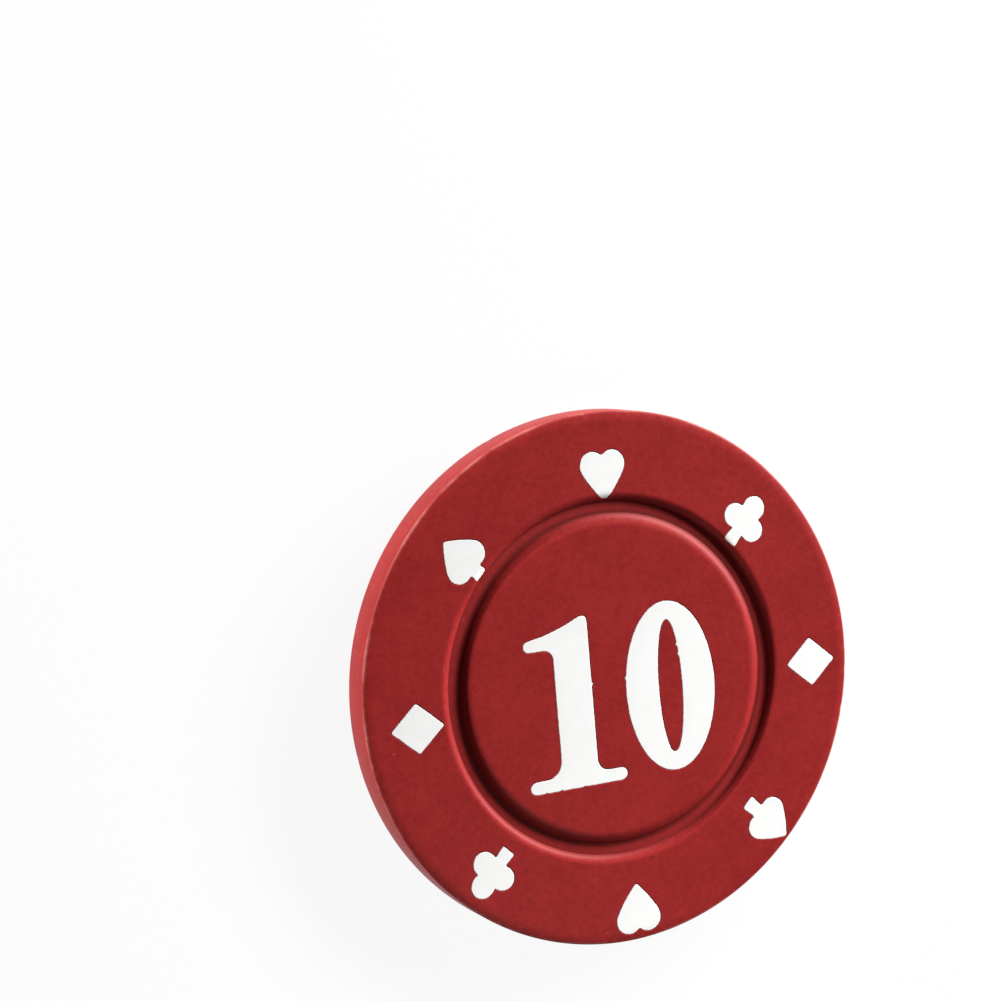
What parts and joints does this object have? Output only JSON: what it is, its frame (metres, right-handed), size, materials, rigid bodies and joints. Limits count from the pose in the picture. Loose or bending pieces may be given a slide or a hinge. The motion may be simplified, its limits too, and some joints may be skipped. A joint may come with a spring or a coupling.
{
  "type": "poker chip",
  "caption": "Round flat gaming chip: two moulded plastic half shells closed round a steel weight, grooved faces with white foil numerals and card suits.",
  "frame": {"origin": "middle of the lower face, on the chip's axis", "axes": "+Z along the chip's axis, out of the front face; +X to the right and +Y to the top of the front print"},
  "size_m": [0.04, 0.04, 0.003],
  "materials": {
    "red_plastic": "fine matte moulded texture with a satin sheen at a low angle",
    "slug_steel": "stamped bare steel",
    "white_foil": "hot-stamped white foil, satin"
  },
  "bodies": {
    "root": {"front_shell": "red_plastic", "back_shell": "red_plastic", "weight_slug": "slug_steel", "front_heart_top": "white_foil", "front_club_upper_right": "white_foil", "front_diamond_right": "white_foil", "front_spade_lower_right": "white_foil", "front_heart_bottom": "white_foil", "front_club_lower_left": "white_foil", "front_diamond_left": "white_foil", "front_spade_upper_left": "white_foil", "front_digit_one": "white_foil", "front_digit_zero": "white_foil", "back_heart_top": "white_foil", "back_club_upper_right": "white_foil", "back_diamond_right": "white_foil", "back_spade_lower_right": "white_foil", "back_heart_bottom": "white_foil", "back_club_lower_left": "white_foil", "back_diamond_left": "white_foil", "back_spade_upper_left": "white_foil", "back_digit_one": "white_foil", "back_digit_zero": "white_foil"}
  },
  "joints": []
}
